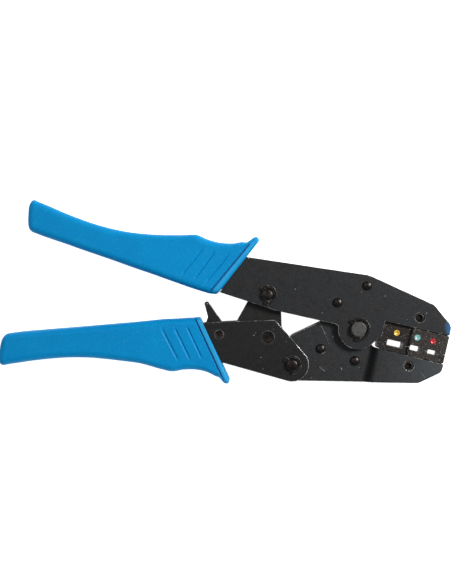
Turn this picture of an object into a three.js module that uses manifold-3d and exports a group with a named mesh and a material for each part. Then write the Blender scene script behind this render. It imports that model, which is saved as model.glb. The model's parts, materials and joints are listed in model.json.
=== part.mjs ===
// Ratchet crimping tool for insulated terminals, lying on its back, jaws closed.
//
// Millimetres. Origin on the main pivot's axis, in the plane that the tool lies on.
// +X towards the jaws, +Y towards the fixed handle, +Z up through the thickness.
//
// Every piece is drawn in the plane of the plates and given its thickness about the
// tool's mid-plane, so z below is measured from that mid-plane; the whole tool is
// lifted by REST_HEIGHT at the end.

import * as THREE from 'three';
import { mergeVertices } from 'three/addons/utils/BufferGeometryUtils.js';
import Module from 'manifold-3d';

const wasm = await Module();
wasm.setup();

// ---------------------------------------------------------------- driving dimensions

const REST_HEIGHT = 9.5; // mid-plane above the surface the tool lies on
const GAP = 0.3; // air between neighbouring pieces
const RUNNING = 0.2; // radial play of a pin in its hole
const SEAT_GAP = 0.1; // air under a rivet head, round a clip and round a colour dot

const PLATE_IN = 4.2; // frame and handle plates, faces from the mid-plane
const PLATE_OUT = 7.2;
const TAIL_IN = 1.0; // jaw plates, where they run between the outer plates
const TAIL_OUT = 3.9;
const LINK_HALF = 3.6;
const PAWL_HALF = 2.5;
const TONGUE_HALF = 3.9; // die tongues, between the plates
const NEST_HALF_THIN = 5.0; // die block around the largest nest
const NEST_HALF_THICK = 6.8; // die block around the two smaller nests
const GRIP_HALF = 9.5;
const GRIP_CORNER = 3.4; // rounding of the grips' long edges

const MAIN = [0, 0]; // main pivot
const LINK = [-45.5, 17.2]; // link to frame
const TOGGLE = [-45.2, -4.1]; // link to moving handle
const HANDLE = [-33.1, -17.8]; // moving handle to jaw
const PAWL = [-69.6, -2.7];

const MAIN_PIN_R = 3.8;
const LINK_PIN_R = 3.0;
const TOGGLE_PIN_R = 3.5;
const PAWL_PIN_R = 2.2;
const LINK_EYE_R = 3.9; // wide eye: it takes up the toggle's out-of-line motion
const BOSS_R = 10.2; // frame's round boss under the main pivot
const JAW_EYE_R = 9.0;
const HANDLE_EYE_R = 8.5;
const TAIL_EYE_R = 8.2;
const RIVET_R = 1.6;
const RIVET_HEAD_R = 2.35;
const RIVET_HEAD_H = 1.3;
const MAIN_PIN_TOP = 9.6; // pin ends, heads and clips
const MAIN_HEAD_R = 5.6;
const SIDE_PIN_TOP = 9.0;
const SIDE_HEAD_R = 4.5;
const HEAD_BEVEL = 0.3;
const CLIP_GROOVE = 0.8;
const CLIP_SEAT_H = 1.1;
const CLIP_OPENING = 195; // degrees: the clips' open sides face the handles
const TOGGLE_END_R = 2.85; // rivets that are thinner in the plates than between them
const PAWL_END_R = 1.9;
const ANCHOR_R = 1.3;
const PAWL_ANCHOR_R = 1.1;

const DIE_TILT = -12.9; // die's long axis, degrees from +X
const PARTING = -3.05; // parting line of the dies, across that axis
const PARTING_GAP = 0.1;
const DIE_STEP = 27.0; // where the thick part of the die begins, along it
const DIE_END = 45.4;
const DIE_TOP = 6.6; // upper edge of the die block, across that axis
const DIE_LOW_LEFT = -6.9; // its lower edge, near end and far end
const DIE_LOW_RIGHT = -7.35;
const NESTS = [
  { along: 20.0, width: 8.3, height: 2.9, relief: 0 },
  { along: 30.0, width: 5.4, height: 2.5, relief: 1.1 },
  { along: 38.9, width: 5.2, height: 2.0, relief: 1.1 },
];
const RELIEF_TOP = -0.4; // below this height the two smaller nests widen, for the insulation
const NEST_CORNER = 0.5;
const DOT_R = 1.6;
const DOT_SEAT = 0.8; // depth of a colour dot's seat
const DOT_ACROSS = 2.5; // colour dots' centres, across the die's axis
const UPPER_SCREW = [28.9, 12.6]; // die screws, along and across the die's axis
const LOWER_SCREW = [28.8, -12.2];
const SCREW_R = 1.9;
const SCREW_HEAD_R = 2.3;
const SCREW_HEAD_SUNK = 0.6;
const SOCKET_R = 1.3;
const SOCKET_DEPTH = 1.4;

const TEETH = 8;
const TOOTH_TIP_R = 17.5;
const TOOTH_DEPTH = 0.7;
const TOOTH_PITCH = 2.5; // degrees
const FIRST_TOOTH = 179; // degrees about the toggle pin
const LINK_BOSS_R = 6.8;
const HOOK_BOSS_R = 2.2;
const HOOK_HOLE_R = 1.0;
const HOOK_SLOT_R = 4.2; // slot in the link's tail, for the spring's eye
const HOOK_SLOT_HALF = 1.2;
const PAWL_HOOK_HOLE_R = 0.7;
const OPENING_SPRING_R = 2.0;
const PAWL_SPRING_R = 1.5;

const HOOK = [-42.8, -13.0]; // pin in the link's tail that holds the opening spring's eye
const SPRING_ANCHOR = [-76, -12.5];
const PAWL_HOOK = [-74.2, -2.4];
const PAWL_ANCHOR = [-88, -2.2];

const FRAME_RIVETS = [[4.5, 21.8], [-10.3, 13.3]];
const JAW_RIVETS = [[-1.3, -16.0], [-18.5, -9.9]];
const FRAME_TANG_RIVETS = [[-97, 35.5], [-111, 40.2]];
const HANDLE_TANG_RIVETS = [[-109, -6.3], [-126, -6.4]];

const ROUND_SIDES = 20; // facets of a large pin or hole
const SMALL_SIDES = 12;
const ARC_STEP = 15; // degrees between points of an arc

// ---------------------------------------------------------------- materials

const finish = (color, roughness, metalness) =>
  new THREE.MeshStandardMaterial({ color, roughness, metalness });

const blackedSteel = () => finish(0x3c3f42, 0.5, 0.8);
const dieSteel = () => finish(0x3a342f, 0.65, 0.7);
const pinSteel = () => finish(0x4a443e, 0.4, 0.9);
const brightSteel = () => finish(0x8f8f8d, 0.45, 0.9);
const springSteel = () => finish(0x7b7b78, 0.35, 1.0);
const gripPlastic = () => finish(0x0a8ecb, 0.5, 0.0);
const enamel = (color) => finish(color, 0.25, 0.0);

// ---------------------------------------------------------------- outlines

const rad = THREE.MathUtils.degToRad;

// Points on a circle, from one angle to another in degrees.
function arc([cx, cy], r, from, to) {
  const steps = Math.max(1, Math.round(Math.abs(to - from) / ARC_STEP));
  const point = (i) => {
    const a = rad(from + ((to - from) * i) / steps);
    return [cx + r * Math.cos(a), cy + r * Math.sin(a)];
  };
  return Array.from({ length: steps + 1 }, (_, i) => point(i));
}

// A closed outline from corners [x, y] or [x, y, radius]: a radius rounds its corner.
function outline(corners) {
  const at = (i) => {
    const [x, y] = corners[(i + corners.length) % corners.length];
    return new THREE.Vector2(x, y);
  };
  return corners.flatMap(([x, y, r = 0], i) => {
    if (r === 0) return [new THREE.Vector2(x, y)];
    const back = at(i - 1).sub(at(i)).normalize();
    const ahead = at(i + 1).sub(at(i)).normalize();
    const half = Math.acos(back.dot(ahead)) / 2;
    const centre = back.clone().add(ahead).setLength(r / Math.sin(half)).add(at(i));
    const first = back.multiplyScalar(r / Math.tan(half)).add(at(i)).sub(centre);
    const last = ahead.multiplyScalar(r / Math.tan(half)).add(at(i)).sub(centre);
    const turn = Math.atan2(first.cross(last), first.dot(last));
    const steps = Math.max(1, Math.round(Math.abs(turn) / rad(ARC_STEP)));
    return Array.from({ length: steps + 1 }, (_, k) =>
      first.clone().rotateAround(new THREE.Vector2(), (turn * k) / steps).add(centre));
  });
}

// The same corners, moved out by a distance; they run anticlockwise.
function grown(corners, by) {
  return corners.map(([x, y], i) => {
    const [px, py] = corners[(i + corners.length - 1) % corners.length];
    const [nx, ny] = corners[(i + 1) % corners.length];
    const before = new THREE.Vector2(y - py, px - x).normalize();
    const after = new THREE.Vector2(ny - y, x - nx).normalize();
    const out = before.clone().add(after);
    out.multiplyScalar(by / (1 + before.dot(after)));
    return [x + out.x, y + out.y];
  });
}

// A point given along and across the die's long axis.
function onDie(along, across) {
  const c = Math.cos(rad(DIE_TILT));
  const s = Math.sin(rad(DIE_TILT));
  return [along * c - across * s, along * s + across * c];
}

// ---------------------------------------------------------------- solids

function toSolid(geometry) {
  const bare = geometry.clone();
  bare.deleteAttribute('normal');
  bare.deleteAttribute('uv');
  const merged = mergeVertices(bare, 1e-4);
  return new wasm.Manifold(new wasm.Mesh({
    numProp: 3,
    vertProperties: Float32Array.from(merged.attributes.position.array),
    triVerts: Uint32Array.from(merged.index.array),
  }));
}

function toGeometry(solid) {
  const mesh = solid.getMesh();
  const geometry = new THREE.BufferGeometry();
  geometry.setAttribute('position', new THREE.BufferAttribute(mesh.vertProperties, 3));
  geometry.setIndex(new THREE.BufferAttribute(mesh.triVerts, 1));
  geometry.computeVertexNormals();
  return geometry;
}

// A flat piece between two heights, with round holes [x, y, radius].
function slab(corners, low, high, holes = [], sides = ROUND_SIDES) {
  const shape = new THREE.Shape(outline(corners));
  for (const [x, y, r] of holes) {
    shape.holes.push(new THREE.Path().absarc(x, y, r, 0, 2 * Math.PI, true));
  }
  const settings = { depth: high - low, bevelEnabled: false, curveSegments: sides / 2 };
  return new THREE.ExtrudeGeometry(shape, settings).translate(0, 0, low);
}

// A turned piece on an axis along Z: [radius, height] points from bottom to top.
function turned([x, y], profile, sides = ROUND_SIDES) {
  const points = profile.map(([r, h]) => new THREE.Vector2(r, h));
  return new THREE.LatheGeometry(points, sides).rotateX(Math.PI / 2).translate(x, y, 0);
}

// A rod between two points of the mid-plane.
function rodBetween([ax, ay], [bx, by], r) {
  const length = Math.hypot(bx - ax, by - ay);
  return new THREE.CylinderGeometry(r, r, length, SMALL_SIDES)
    .rotateZ(Math.atan2(by - ay, bx - ax) - Math.PI / 2)
    .translate((ax + bx) / 2, (ay + by) / 2, 0);
}

// A skin over rings with equal numbers of points, closed at both ends.
function loft(rings) {
  const size = rings[0].length;
  const index = [];
  for (let i = 0; i + 1 < rings.length; i += 1) {
    for (let j = 0; j < size; j += 1) {
      const a = i * size + j;
      const b = i * size + ((j + 1) % size);
      index.push(a, b, b + size, a, b + size, a + size);
    }
  }
  const last = (rings.length - 1) * size;
  for (let j = 1; j + 1 < size; j += 1) {
    index.push(0, j + 1, j);
    index.push(last, last + j, last + j + 1);
  }
  const geometry = new THREE.BufferGeometry().setFromPoints(rings.flat());
  geometry.setIndex(index);
  geometry.computeVertexNormals();
  return geometry;
}

// ---------------------------------------------------------------- the assembly

const tool = new THREE.Group();
tool.position.z = REST_HEIGHT;

function add(name, material, shape) {
  const geometry = shape.isBufferGeometry ? shape : toGeometry(shape);
  const mesh = new THREE.Mesh(geometry, material);
  mesh.name = name;
  tool.add(mesh);
}

const pinHole = ([x, y], r) => [x, y, r + RUNNING];

// ---------------------------------------------------------------- frame plates

const frameTang = [
  [-68.3, 19.9],
  [-55.5, 36.1],
  [-84, 40.3],
  [-124, 46.4],
  [-124, 39.6],
  [-84, 24.8],
  [-70.2, 20.5],
];

const framePlate = [
  [-84, 40.3],
  [-124, 46.4, 2],
  [-124, 39.6, 2],
  [-84, 24.8],
  [-70.2, 20.5],
  [-68.3, 19.9],
  [-69.4, 18.5],
  [-41.6, 9.4],
  [-11.6, 2.6, 1.2],
  ...arc(MAIN, BOSS_R, 171, 318),
  [10.0, -4.8],
  onDie(12.45, 0),
  onDie(12.3, 7.0),
  onDie(45.3, 7.0),
  [46.5, 0.6, 1.5],
  [45.9, 2.7, 2],
  [43.2, 5.8, 4],
  [38.2, 12.1, 4],
  [5.6, 27.0, 8],
];

const frameHoles = [
  pinHole(MAIN, MAIN_PIN_R),
  pinHole(LINK, LINK_PIN_R),
  ...FRAME_RIVETS.map((at) => pinHole(at, RIVET_R)),
  ...FRAME_TANG_RIVETS.map((at) => pinHole(at, RIVET_R)),
];

const upperScrewAt = onDie(...UPPER_SCREW);
const frameFrontHoles = [...frameHoles, pinHole(upperScrewAt, SCREW_HEAD_R)];
const frameBackHoles = [...frameHoles, pinHole(upperScrewAt, SCREW_R)];
add('frame_plate_front', blackedSteel(), slab(framePlate, PLATE_IN, PLATE_OUT, frameFrontHoles));
add('frame_plate_back', blackedSteel(), slab(framePlate, -PLATE_OUT, -PLATE_IN, frameBackHoles));

const headSpacer = [
  [-14.5, 28.6],
  [-14.5, 11.5, 3],
  [-8.0, 11.2, 3],
  [0.5, 16.8],
  [8.5, 17.0, 3],
  [9.6, 23.6, 1],
  [5.0, 25.8],
];
const rearSpacer = [[-92, 39.5], [-116, 43.4], [-116, 38.4], [-92, 29.6]];
const spacerHalf = PLATE_IN - GAP;

// A filler between two plates, with a hole for each of its rivets.
function spacer(corners, half, rivets) {
  return slab(corners, -half, half, rivets.map((at) => pinHole(at, RIVET_R)), SMALL_SIDES);
}
add('head_spacer', blackedSteel(), spacer(headSpacer, spacerHalf, FRAME_RIVETS));
add('rear_spacer', blackedSteel(), spacer(rearSpacer, spacerHalf, FRAME_TANG_RIVETS));

// ---------------------------------------------------------------- rivets and pins

// A rivet with a domed head on each side of the plates it joins.
function domedRivet(at, face) {
  const foot = face + SEAT_GAP;
  const dome = [[RIVET_HEAD_R, foot], [RIVET_HEAD_R * 0.85, foot + RIVET_HEAD_H * 0.6],
    [RIVET_HEAD_R * 0.5, foot + RIVET_HEAD_H * 0.92], [0, foot + RIVET_HEAD_H]];
  const upper = [[RIVET_R, foot], ...dome];
  const lower = upper.map(([r, h]) => [r, -h]).reverse();
  return turned(at, [...lower, ...upper], SMALL_SIDES);
}

// A rivet set flush with the outer faces, thicker between the plates.
function flushRivet(at, endR, middleR) {
  const inner = PLATE_IN - RUNNING;
  const profile = [[0, -PLATE_OUT], [endR, -PLATE_OUT], [endR, -inner], [middleR, -inner],
    [middleR, inner], [endR, inner], [endR, PLATE_OUT], [0, PLATE_OUT]];
  return turned(at, profile, middleR === TOGGLE_PIN_R ? ROUND_SIDES : SMALL_SIDES);
}

const clipSeat = { low: PLATE_OUT + GAP, high: PLATE_OUT + GAP + CLIP_SEAT_H };

// A headed pin: head under the back plate, groove for an E-clip over the front plate.
function headedPin(at, r, headR, headLow, top, crown) {
  const grooveR = r - CLIP_GROOVE;
  const profile = [[0, headLow], [headR - HEAD_BEVEL, headLow], [headR, headLow + HEAD_BEVEL],
    [headR, -PLATE_OUT - GAP], [r, -PLATE_OUT - GAP], [r, clipSeat.low], [grooveR, clipSeat.low],
    [grooveR, clipSeat.high], [r, clipSeat.high], [r, top - crown], [r * 0.8, top - crown * 0.3],
    [r * 0.45, top], [0, top]];
  return turned(at, profile);
}

// An E-clip: a ring open on one side, with three lugs that reach into the groove.
function eClip(at, ringIn, ringOut, lugR, opening) {
  const gapHalf = 56;
  const lugHalf = 13;
  const start = opening + gapHalf;
  const end = opening + 360 - gapHalf;
  const middle = opening + 180;
  const step = lugHalf + 4;
  const inside = [
    ...arc(at, lugR, start, start + 2 * lugHalf),
    ...arc(at, ringIn, start + lugHalf + step, middle - step),
    ...arc(at, lugR, middle - lugHalf, middle + lugHalf),
    ...arc(at, ringIn, middle + step, end - lugHalf - step),
    ...arc(at, lugR, end - 2 * lugHalf, end),
  ];
  const ring = [...arc(at, ringOut, start, end), ...inside.reverse()];
  return slab(ring, clipSeat.low + SEAT_GAP, clipSeat.high - SEAT_GAP);
}

FRAME_RIVETS.forEach((at, i) =>
  add(`frame_rivet_${i + 1}`, pinSteel(), domedRivet(at, PLATE_OUT)));
FRAME_TANG_RIVETS.forEach((at, i) =>
  add(`frame_tang_rivet_${i + 1}`, pinSteel(), flushRivet(at, RIVET_R, RIVET_R)));
JAW_RIVETS.forEach((at, i) =>
  add(`jaw_rivet_${i + 1}`, pinSteel(), domedRivet(at, TAIL_OUT)));
HANDLE_TANG_RIVETS.forEach((at, i) =>
  add(`handle_tang_rivet_${i + 1}`, pinSteel(), flushRivet(at, RIVET_R, RIVET_R)));

const sidePin = (at) => headedPin(at, LINK_PIN_R, SIDE_HEAD_R, -SIDE_PIN_TOP, SIDE_PIN_TOP, 0.9);
add('main_pin', brightSteel(),
  headedPin(MAIN, MAIN_PIN_R, MAIN_HEAD_R, -GRIP_HALF, MAIN_PIN_TOP, 0.3));
add('link_pin', pinSteel(), sidePin(LINK));
add('handle_pin', pinSteel(), sidePin(HANDLE));
add('main_pin_clip', pinSteel(), eClip(MAIN, 4.7, 6.0, 3.2, CLIP_OPENING));
add('link_pin_clip', pinSteel(), eClip(LINK, 3.8, 4.9, 2.4, CLIP_OPENING));
add('handle_pin_clip', pinSteel(), eClip(HANDLE, 3.7, 4.7, 2.4, CLIP_OPENING + 15));
add('toggle_pin', pinSteel(), flushRivet(TOGGLE, TOGGLE_END_R, TOGGLE_PIN_R));
add('pawl_pin', pinSteel(), flushRivet(PAWL, PAWL_END_R, PAWL_PIN_R));
add('spring_anchor', pinSteel(), flushRivet(SPRING_ANCHOR, ANCHOR_R, ANCHOR_R));
add('pawl_spring_anchor', pinSteel(), flushRivet(PAWL_ANCHOR, PAWL_ANCHOR_R, PAWL_ANCHOR_R));

// ---------------------------------------------------------------- dies

const along = (list) => list.map(([u, v]) => onDie(u, v));

// A rounded slot on the parting line, up to a height.
function slotCutter(centre, w, h, top) {
  const corners = [[-w, -h], [w, -h], [w, h], [-w, h]].map(([u, v]) =>
    [...onDie(centre + u, PARTING + v), NEST_CORNER]);
  return toSolid(slab(corners, -GRIP_HALF, top));
}

// The nests' openings; a nest with a relief is wider on the back half.
function nestCutters() {
  return NESTS.map(({ along: centre, width, height, relief }) => {
    const through = slotCutter(centre, width / 2, height / 2, GRIP_HALF);
    const wide = slotCutter(centre, width / 2 + relief, (height + relief) / 2, RELIEF_TOP);
    return relief > 0 ? through.add(wide) : through;
  });
}

function dieBody(thinBlock, thickBlock, tongue, holes) {
  const blocks = toSolid(slab(thinBlock, -NEST_HALF_THIN, NEST_HALF_THIN))
    .add(toSolid(slab(thickBlock, -NEST_HALF_THICK, NEST_HALF_THICK)))
    .add(toSolid(slab(tongue, -TONGUE_HALF, TONGUE_HALF, holes)));
  return nestCutters().reduce((body, nest) => body.subtract(nest), blocks);
}

const dots = [
  { name: 'dot_yellow', color: 0xe3b62c, at: onDie(19.6, DOT_ACROSS), face: NEST_HALF_THIN },
  { name: 'dot_blue', color: 0x8fc7c2, at: onDie(29.9, DOT_ACROSS), face: NEST_HALF_THICK },
  { name: 'dot_red', color: 0xc2303a, at: onDie(38.0, DOT_ACROSS), face: NEST_HALF_THICK },
];

const upperEdge = PARTING + PARTING_GAP / 2;
const upperDieBlocks = dieBody(
  along([[12.7, DIE_TOP], [13.0, 0], [11.35, upperEdge], [DIE_STEP + 1, upperEdge],
    [DIE_STEP + 1, DIE_TOP]]),
  along([[DIE_STEP, DIE_TOP], [DIE_STEP, upperEdge], [DIE_END, upperEdge], [DIE_END, DIE_TOP]]),
  along([[14, 5], [45.2, 5], [45.2, 8.5], [37, 8.5], [37, 16.5], [19, 16.5], [19, 9], [14, 9]]),
  [pinHole(upperScrewAt, SCREW_R)],
);

function dotSeat({ at, face }) {
  const r = DOT_R + SEAT_GAP;
  const floor = face - DOT_SEAT;
  return toSolid(turned(at, [[0, floor], [r, floor], [r, face + 1], [0, face + 1]], SMALL_SIDES));
}
const upperDie = dots.reduce((body, dot) => body.subtract(dotSeat(dot)), upperDieBlocks);
add('upper_die', dieSteel(), upperDie);

const lowerEdge = PARTING - PARTING_GAP / 2;
const lowerScrewAt = onDie(...LOWER_SCREW);
const lowAtStep = (DIE_LOW_LEFT + DIE_LOW_RIGHT) / 2;
const lowerDie = dieBody(
  along([[11.35, lowerEdge], [11.6, -6.3], [12.6, DIE_LOW_LEFT], [DIE_STEP + 1, lowAtStep],
    [DIE_STEP + 1, lowerEdge]]),
  along([[DIE_STEP, lowerEdge], [DIE_STEP, lowAtStep], [DIE_END, DIE_LOW_RIGHT],
    [DIE_END, lowerEdge]]),
  along([[14, -5], [14, -9.5], [17, -9.5], [17, -16.3], [35.5, -16.3], [35.5, -10],
    [45.2, -10], [45.2, -5]]),
  [pinHole(lowerScrewAt, SCREW_R)],
);
add('lower_die', dieSteel(), lowerDie);

for (const { name, color, at, face } of dots) {
  const foot = face - DOT_SEAT + SEAT_GAP;
  const r = DOT_R - SEAT_GAP;
  const profile = [[0, foot], [r, foot], [r, face], [r * 0.6, face - 0.2], [0, face - 0.3]];
  add(name, enamel(color), turned(at, profile, SMALL_SIDES));
}

// A die screw: head sunk in the front plate, with a hexagon socket.
function dieScrew(at) {
  const headLow = PLATE_IN + RUNNING;
  const headTop = PLATE_OUT - SCREW_HEAD_SUNK;
  const body = turned(at, [[0, -PLATE_OUT], [SCREW_R, -PLATE_OUT], [SCREW_R, headLow],
    [SCREW_HEAD_R, headLow], [SCREW_HEAD_R, headTop], [0, headTop]]);
  const socketLow = headTop - SOCKET_DEPTH;
  const socket = turned(at, [[0, socketLow], [SOCKET_R, socketLow], [SOCKET_R, headTop + 1],
    [0, headTop + 1]], 6);
  return toSolid(body).subtract(toSolid(socket));
}
add('upper_die_screw', pinSteel(), dieScrew(upperScrewAt));
add('lower_die_screw', pinSteel(), dieScrew(lowerScrewAt));

// ---------------------------------------------------------------- moving jaw

const jawPlate = [
  [-32.9, -2.9],
  ...arc(HANDLE, TAIL_EYE_R, 146, 268),
  [30.1, -27.1, 3],
  [41.8, -21.6, 4],
  onDie(45.5, DIE_LOW_RIGHT - GAP),
  onDie(12.6, DIE_LOW_LEFT - GAP),
  [7.6, -8.7],
  ...arc(MAIN, JAW_EYE_R, -45, 112),
  [-17.9, 4.1, 1],
];

// The jaw plates run inside the frame and step outwards to hold the die.
// Side view of one plate: [along the die's axis, height].
const stepStart = 8.6;
const stepEnd = 12.4;
const stepShift = 1.1;
const jawSide = [
  [-60, TAIL_IN],
  [stepStart + stepShift, TAIL_IN],
  [stepEnd + stepShift, PLATE_IN],
  [60, PLATE_IN],
  [60, PLATE_OUT],
  [stepEnd, PLATE_OUT],
  [stepStart, TAIL_OUT],
  [-60, TAIL_OUT],
];

function jawPlateSolid(screwR) {
  const holes = [pinHole(MAIN, MAIN_PIN_R), pinHole(HANDLE, LINK_PIN_R),
    ...JAW_RIVETS.map((at) => pinHole(at, RIVET_R)), pinHole(lowerScrewAt, screwR)];
  const flat = slab(jawPlate, 0, GRIP_HALF, holes);
  const side = slab(jawSide, -60, 60).rotateX(Math.PI / 2).rotateZ(rad(DIE_TILT));
  return toSolid(flat).intersect(toSolid(side));
}
add('jaw_plate_front', blackedSteel(), jawPlateSolid(SCREW_HEAD_R));
add('jaw_plate_back', blackedSteel(), jawPlateSolid(SCREW_R).mirror([0, 0, 1]));

const jawSpacer = [
  [-25.5, -7, 2],
  [-22, -23.5, 2],
  [4.5, -23.8, 2],
  [5.5, -13.5, 2],
  [-4.5, -10.5],
  [-10.5, -4],
  [-12.5, 0.5, 2],
];
add('jaw_spacer', blackedSteel(), spacer(jawSpacer, TAIL_IN - SEAT_GAP, JAW_RIVETS));

// ---------------------------------------------------------------- toggle link

// A point given as an angle and a radius about the toggle pin.
function aboutToggle(degrees, r) {
  const a = rad(degrees);
  return [TOGGLE[0] + r * Math.cos(a), TOGGLE[1] + r * Math.sin(a)];
}

const teeth = Array.from({ length: TEETH }, (_, i) => FIRST_TOOTH + i * TOOTH_PITCH)
  .flatMap((angle) => [
    aboutToggle(angle, TOOTH_TIP_R - TOOTH_DEPTH),
    aboutToggle(angle + TOOTH_PITCH * 0.35, TOOTH_TIP_R),
    aboutToggle(angle + TOOTH_PITCH * 0.65, TOOTH_TIP_R),
  ]);
const lastTooth = FIRST_TOOTH + TEETH * TOOTH_PITCH;

const toggleLink = [
  ...arc(LINK, LINK_BOSS_R, -3, 151),
  ...arc(TOGGLE, TOOTH_TIP_R, 151, 160),
  ...arc(TOGGLE, TOOTH_TIP_R - TOOTH_DEPTH - 0.3, 162, FIRST_TOOTH - 1),
  ...teeth,
  aboutToggle(lastTooth, TOOTH_TIP_R - TOOTH_DEPTH),
  [...aboutToggle(lastTooth + 3, 11), 2],
  ...arc(TOGGLE, 7.8, 236, 260),
  ...arc(HOOK, HOOK_BOSS_R, 200, 350),
  ...arc(TOGGLE, 8.7, 300, 385),
  aboutToggle(38.5, 9.1),
];
const wholeLink = slab(toggleLink, -LINK_HALF, LINK_HALF,
  [[...LINK, LINK_EYE_R], pinHole(TOGGLE, TOGGLE_PIN_R), [...HOOK, HOOK_HOLE_R]]);
const hookSlot = turned(HOOK, [[0, -HOOK_SLOT_HALF], [HOOK_SLOT_R, -HOOK_SLOT_HALF],
  [HOOK_SLOT_R, HOOK_SLOT_HALF], [0, HOOK_SLOT_HALF]]);
add('toggle_link', blackedSteel(), toSolid(wholeLink).subtract(toSolid(hookSlot)));

const hookPinR = HOOK_HOLE_R - RUNNING;
const hookPinEnd = LINK_HALF - SEAT_GAP;
add('hook_pin', pinSteel(), turned(HOOK, [[0, -hookPinEnd], [hookPinR, -hookPinEnd],
  [hookPinR, hookPinEnd], [0, hookPinEnd]], SMALL_SIDES));

// ---------------------------------------------------------------- moving handle

const handleTang = [
  [-135, -2.6],
  [-135, -10.4],
  [-84, -14.6],
  [-66.7, -17.1],
  [-75.5, 3.4],
  [-76.6, 3.3],
  [-82, 1.8],
  [-95, 1.3],
];

const handlePlate = [
  [-135, -2.6, 2],
  [-135, -10.4, 2],
  [-84, -14.6],
  [-66.7, -17.1],
  ...arc(HANDLE, HANDLE_EYE_R, 249, 389),
  [-34.0, -3.9],
  [-41.6, 4.7, 2],
  [-60.6, 4.1],
  [-76.6, 3.3],
  [-82, 1.8],
  [-95, 1.3],
];
const handleHoles = [
  pinHole(HANDLE, LINK_PIN_R),
  pinHole(TOGGLE, TOGGLE_END_R),
  pinHole(PAWL, PAWL_END_R),
  pinHole(SPRING_ANCHOR, ANCHOR_R),
  pinHole(PAWL_ANCHOR, PAWL_ANCHOR_R),
  ...HANDLE_TANG_RIVETS.map((at) => pinHole(at, RIVET_R)),
];
add('handle_plate_front', blackedSteel(), slab(handlePlate, PLATE_IN, PLATE_OUT, handleHoles));
add('handle_plate_back', blackedSteel(), slab(handlePlate, -PLATE_OUT, -PLATE_IN, handleHoles));

const handleSpacer = [[-130, -3.6], [-130, -9.6], [-104, -11.4], [-104, -1.2]];
add('handle_spacer', blackedSteel(), spacer(handleSpacer, spacerHalf, HANDLE_TANG_RIVETS));

// ---------------------------------------------------------------- ratchet pawl

const PAWL_TIP_R = TOOTH_TIP_R + GAP; // nose tip, from the toggle pin
const ratchetPawl = [
  [-77.4, 13.6, 1.2],
  [-75.3, 6.0, 2.5],
  [-76.5, 2.8, 1],
  [-75.6, -4.2, 1.5],
  [-71.8, -7.4, 3],
  [-66.8, -6.2, 2],
  aboutToggle(176.8, PAWL_TIP_R),
  [-66.6, 1.8, 1.5],
  [-68.2, 3.9],
  [-75.2, 13.9, 1.2],
];
add('ratchet_pawl', blackedSteel(), slab(ratchetPawl, -PAWL_HALF, PAWL_HALF,
  [pinHole(PAWL, PAWL_PIN_R), [...PAWL_HOOK, PAWL_HOOK_HOLE_R]], SMALL_SIDES));

// ---------------------------------------------------------------- springs

// A wound spring stands as a rod of its outer diameter, clear of its two anchors.
function springRod([ax, ay], [bx, by], r, clearA, clearB) {
  const length = Math.hypot(bx - ax, by - ay);
  const between = (d) => [ax + ((bx - ax) * d) / length, ay + ((by - ay) * d) / length];
  return rodBetween(between(clearA), between(length - clearB), r);
}
add('opening_spring', springSteel(), springRod(SPRING_ANCHOR, HOOK, OPENING_SPRING_R, 2.0, 8.8));
add('pawl_spring', springSteel(), springRod(PAWL_ANCHOR, PAWL_HOOK, PAWL_SPRING_R, 1.8, 2.0));

// ---------------------------------------------------------------- grips

// A grip's cross-section: a rounded rectangle standing on a line in the plane.
function gripSection([bottomX, bottomY, topX, topY, half]) {
  const width = Math.hypot(topX - bottomX, topY - bottomY);
  const r = Math.min(GRIP_CORNER, half * 0.9, width * 0.45);
  const corners = [[r, r - half, 180], [width - r, r - half, 270], [width - r, half - r, 0],
    [r, half - r, 90]];
  return corners.flatMap(([s, z, from]) => [0, 30, 60, 90].map((turn) => {
    const a = rad(from + turn);
    const t = (s + r * Math.cos(a)) / width;
    return new THREE.Vector3(bottomX + (topX - bottomX) * t, bottomY + (topY - bottomY) * t,
      z + r * Math.sin(a));
  }));
}

// Stations along a grip, tail to guard: lower edge x, y, upper edge x, y, half thickness.
const upperGripStations = [
  [-165.3, 52.2, -164.9, 61.0, 7.0],
  [-164.8, 50.2, -164.3, 63.2, 8.5],
  [-163.4, 48.8, -162.7, 64.7, 9.3],
  [-160.5, 47.6, -159.5, 63.6, GRIP_HALF],
  [-146.5, 42.7, -145.2, 57.6, GRIP_HALF],
  [-137.5, 39.5, -135.1, 53.8, GRIP_HALF],
  [-129.0, 36.6, -125.0, 50.8, GRIP_HALF],
  [-121.0, 33.8, -114.8, 48.7, GRIP_HALF],
  [-113.5, 31.1, -104.7, 47.6, GRIP_HALF],
  [-101.0, 26.8, -87.5, 47.2, GRIP_HALF],
  [-96.3, 25.1, -80.9, 47.3, GRIP_HALF],
  [-91.5, 23.4, -75.8, 45.2, GRIP_HALF],
  [-85.3, 21.2, -69.2, 43.4, GRIP_HALF],
  [-79.5, 19.3, -62.0, 43.1, GRIP_HALF],
  [-76.1, 18.3, -57.6, 43.7, GRIP_HALF],
  [-74.8, 18.8, -56.0, 43.5, 8.7],
  [-74.0, 18.4, -53.9, 44.8, 9.1],
  [-73.0, 17.7, -52.2, 46.0, GRIP_HALF],
  [-71.0, 17.6, -50.2, 46.0, GRIP_HALF],
  [-69.8, 18.4, -49.4, 44.4, 8.8],
];
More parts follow.
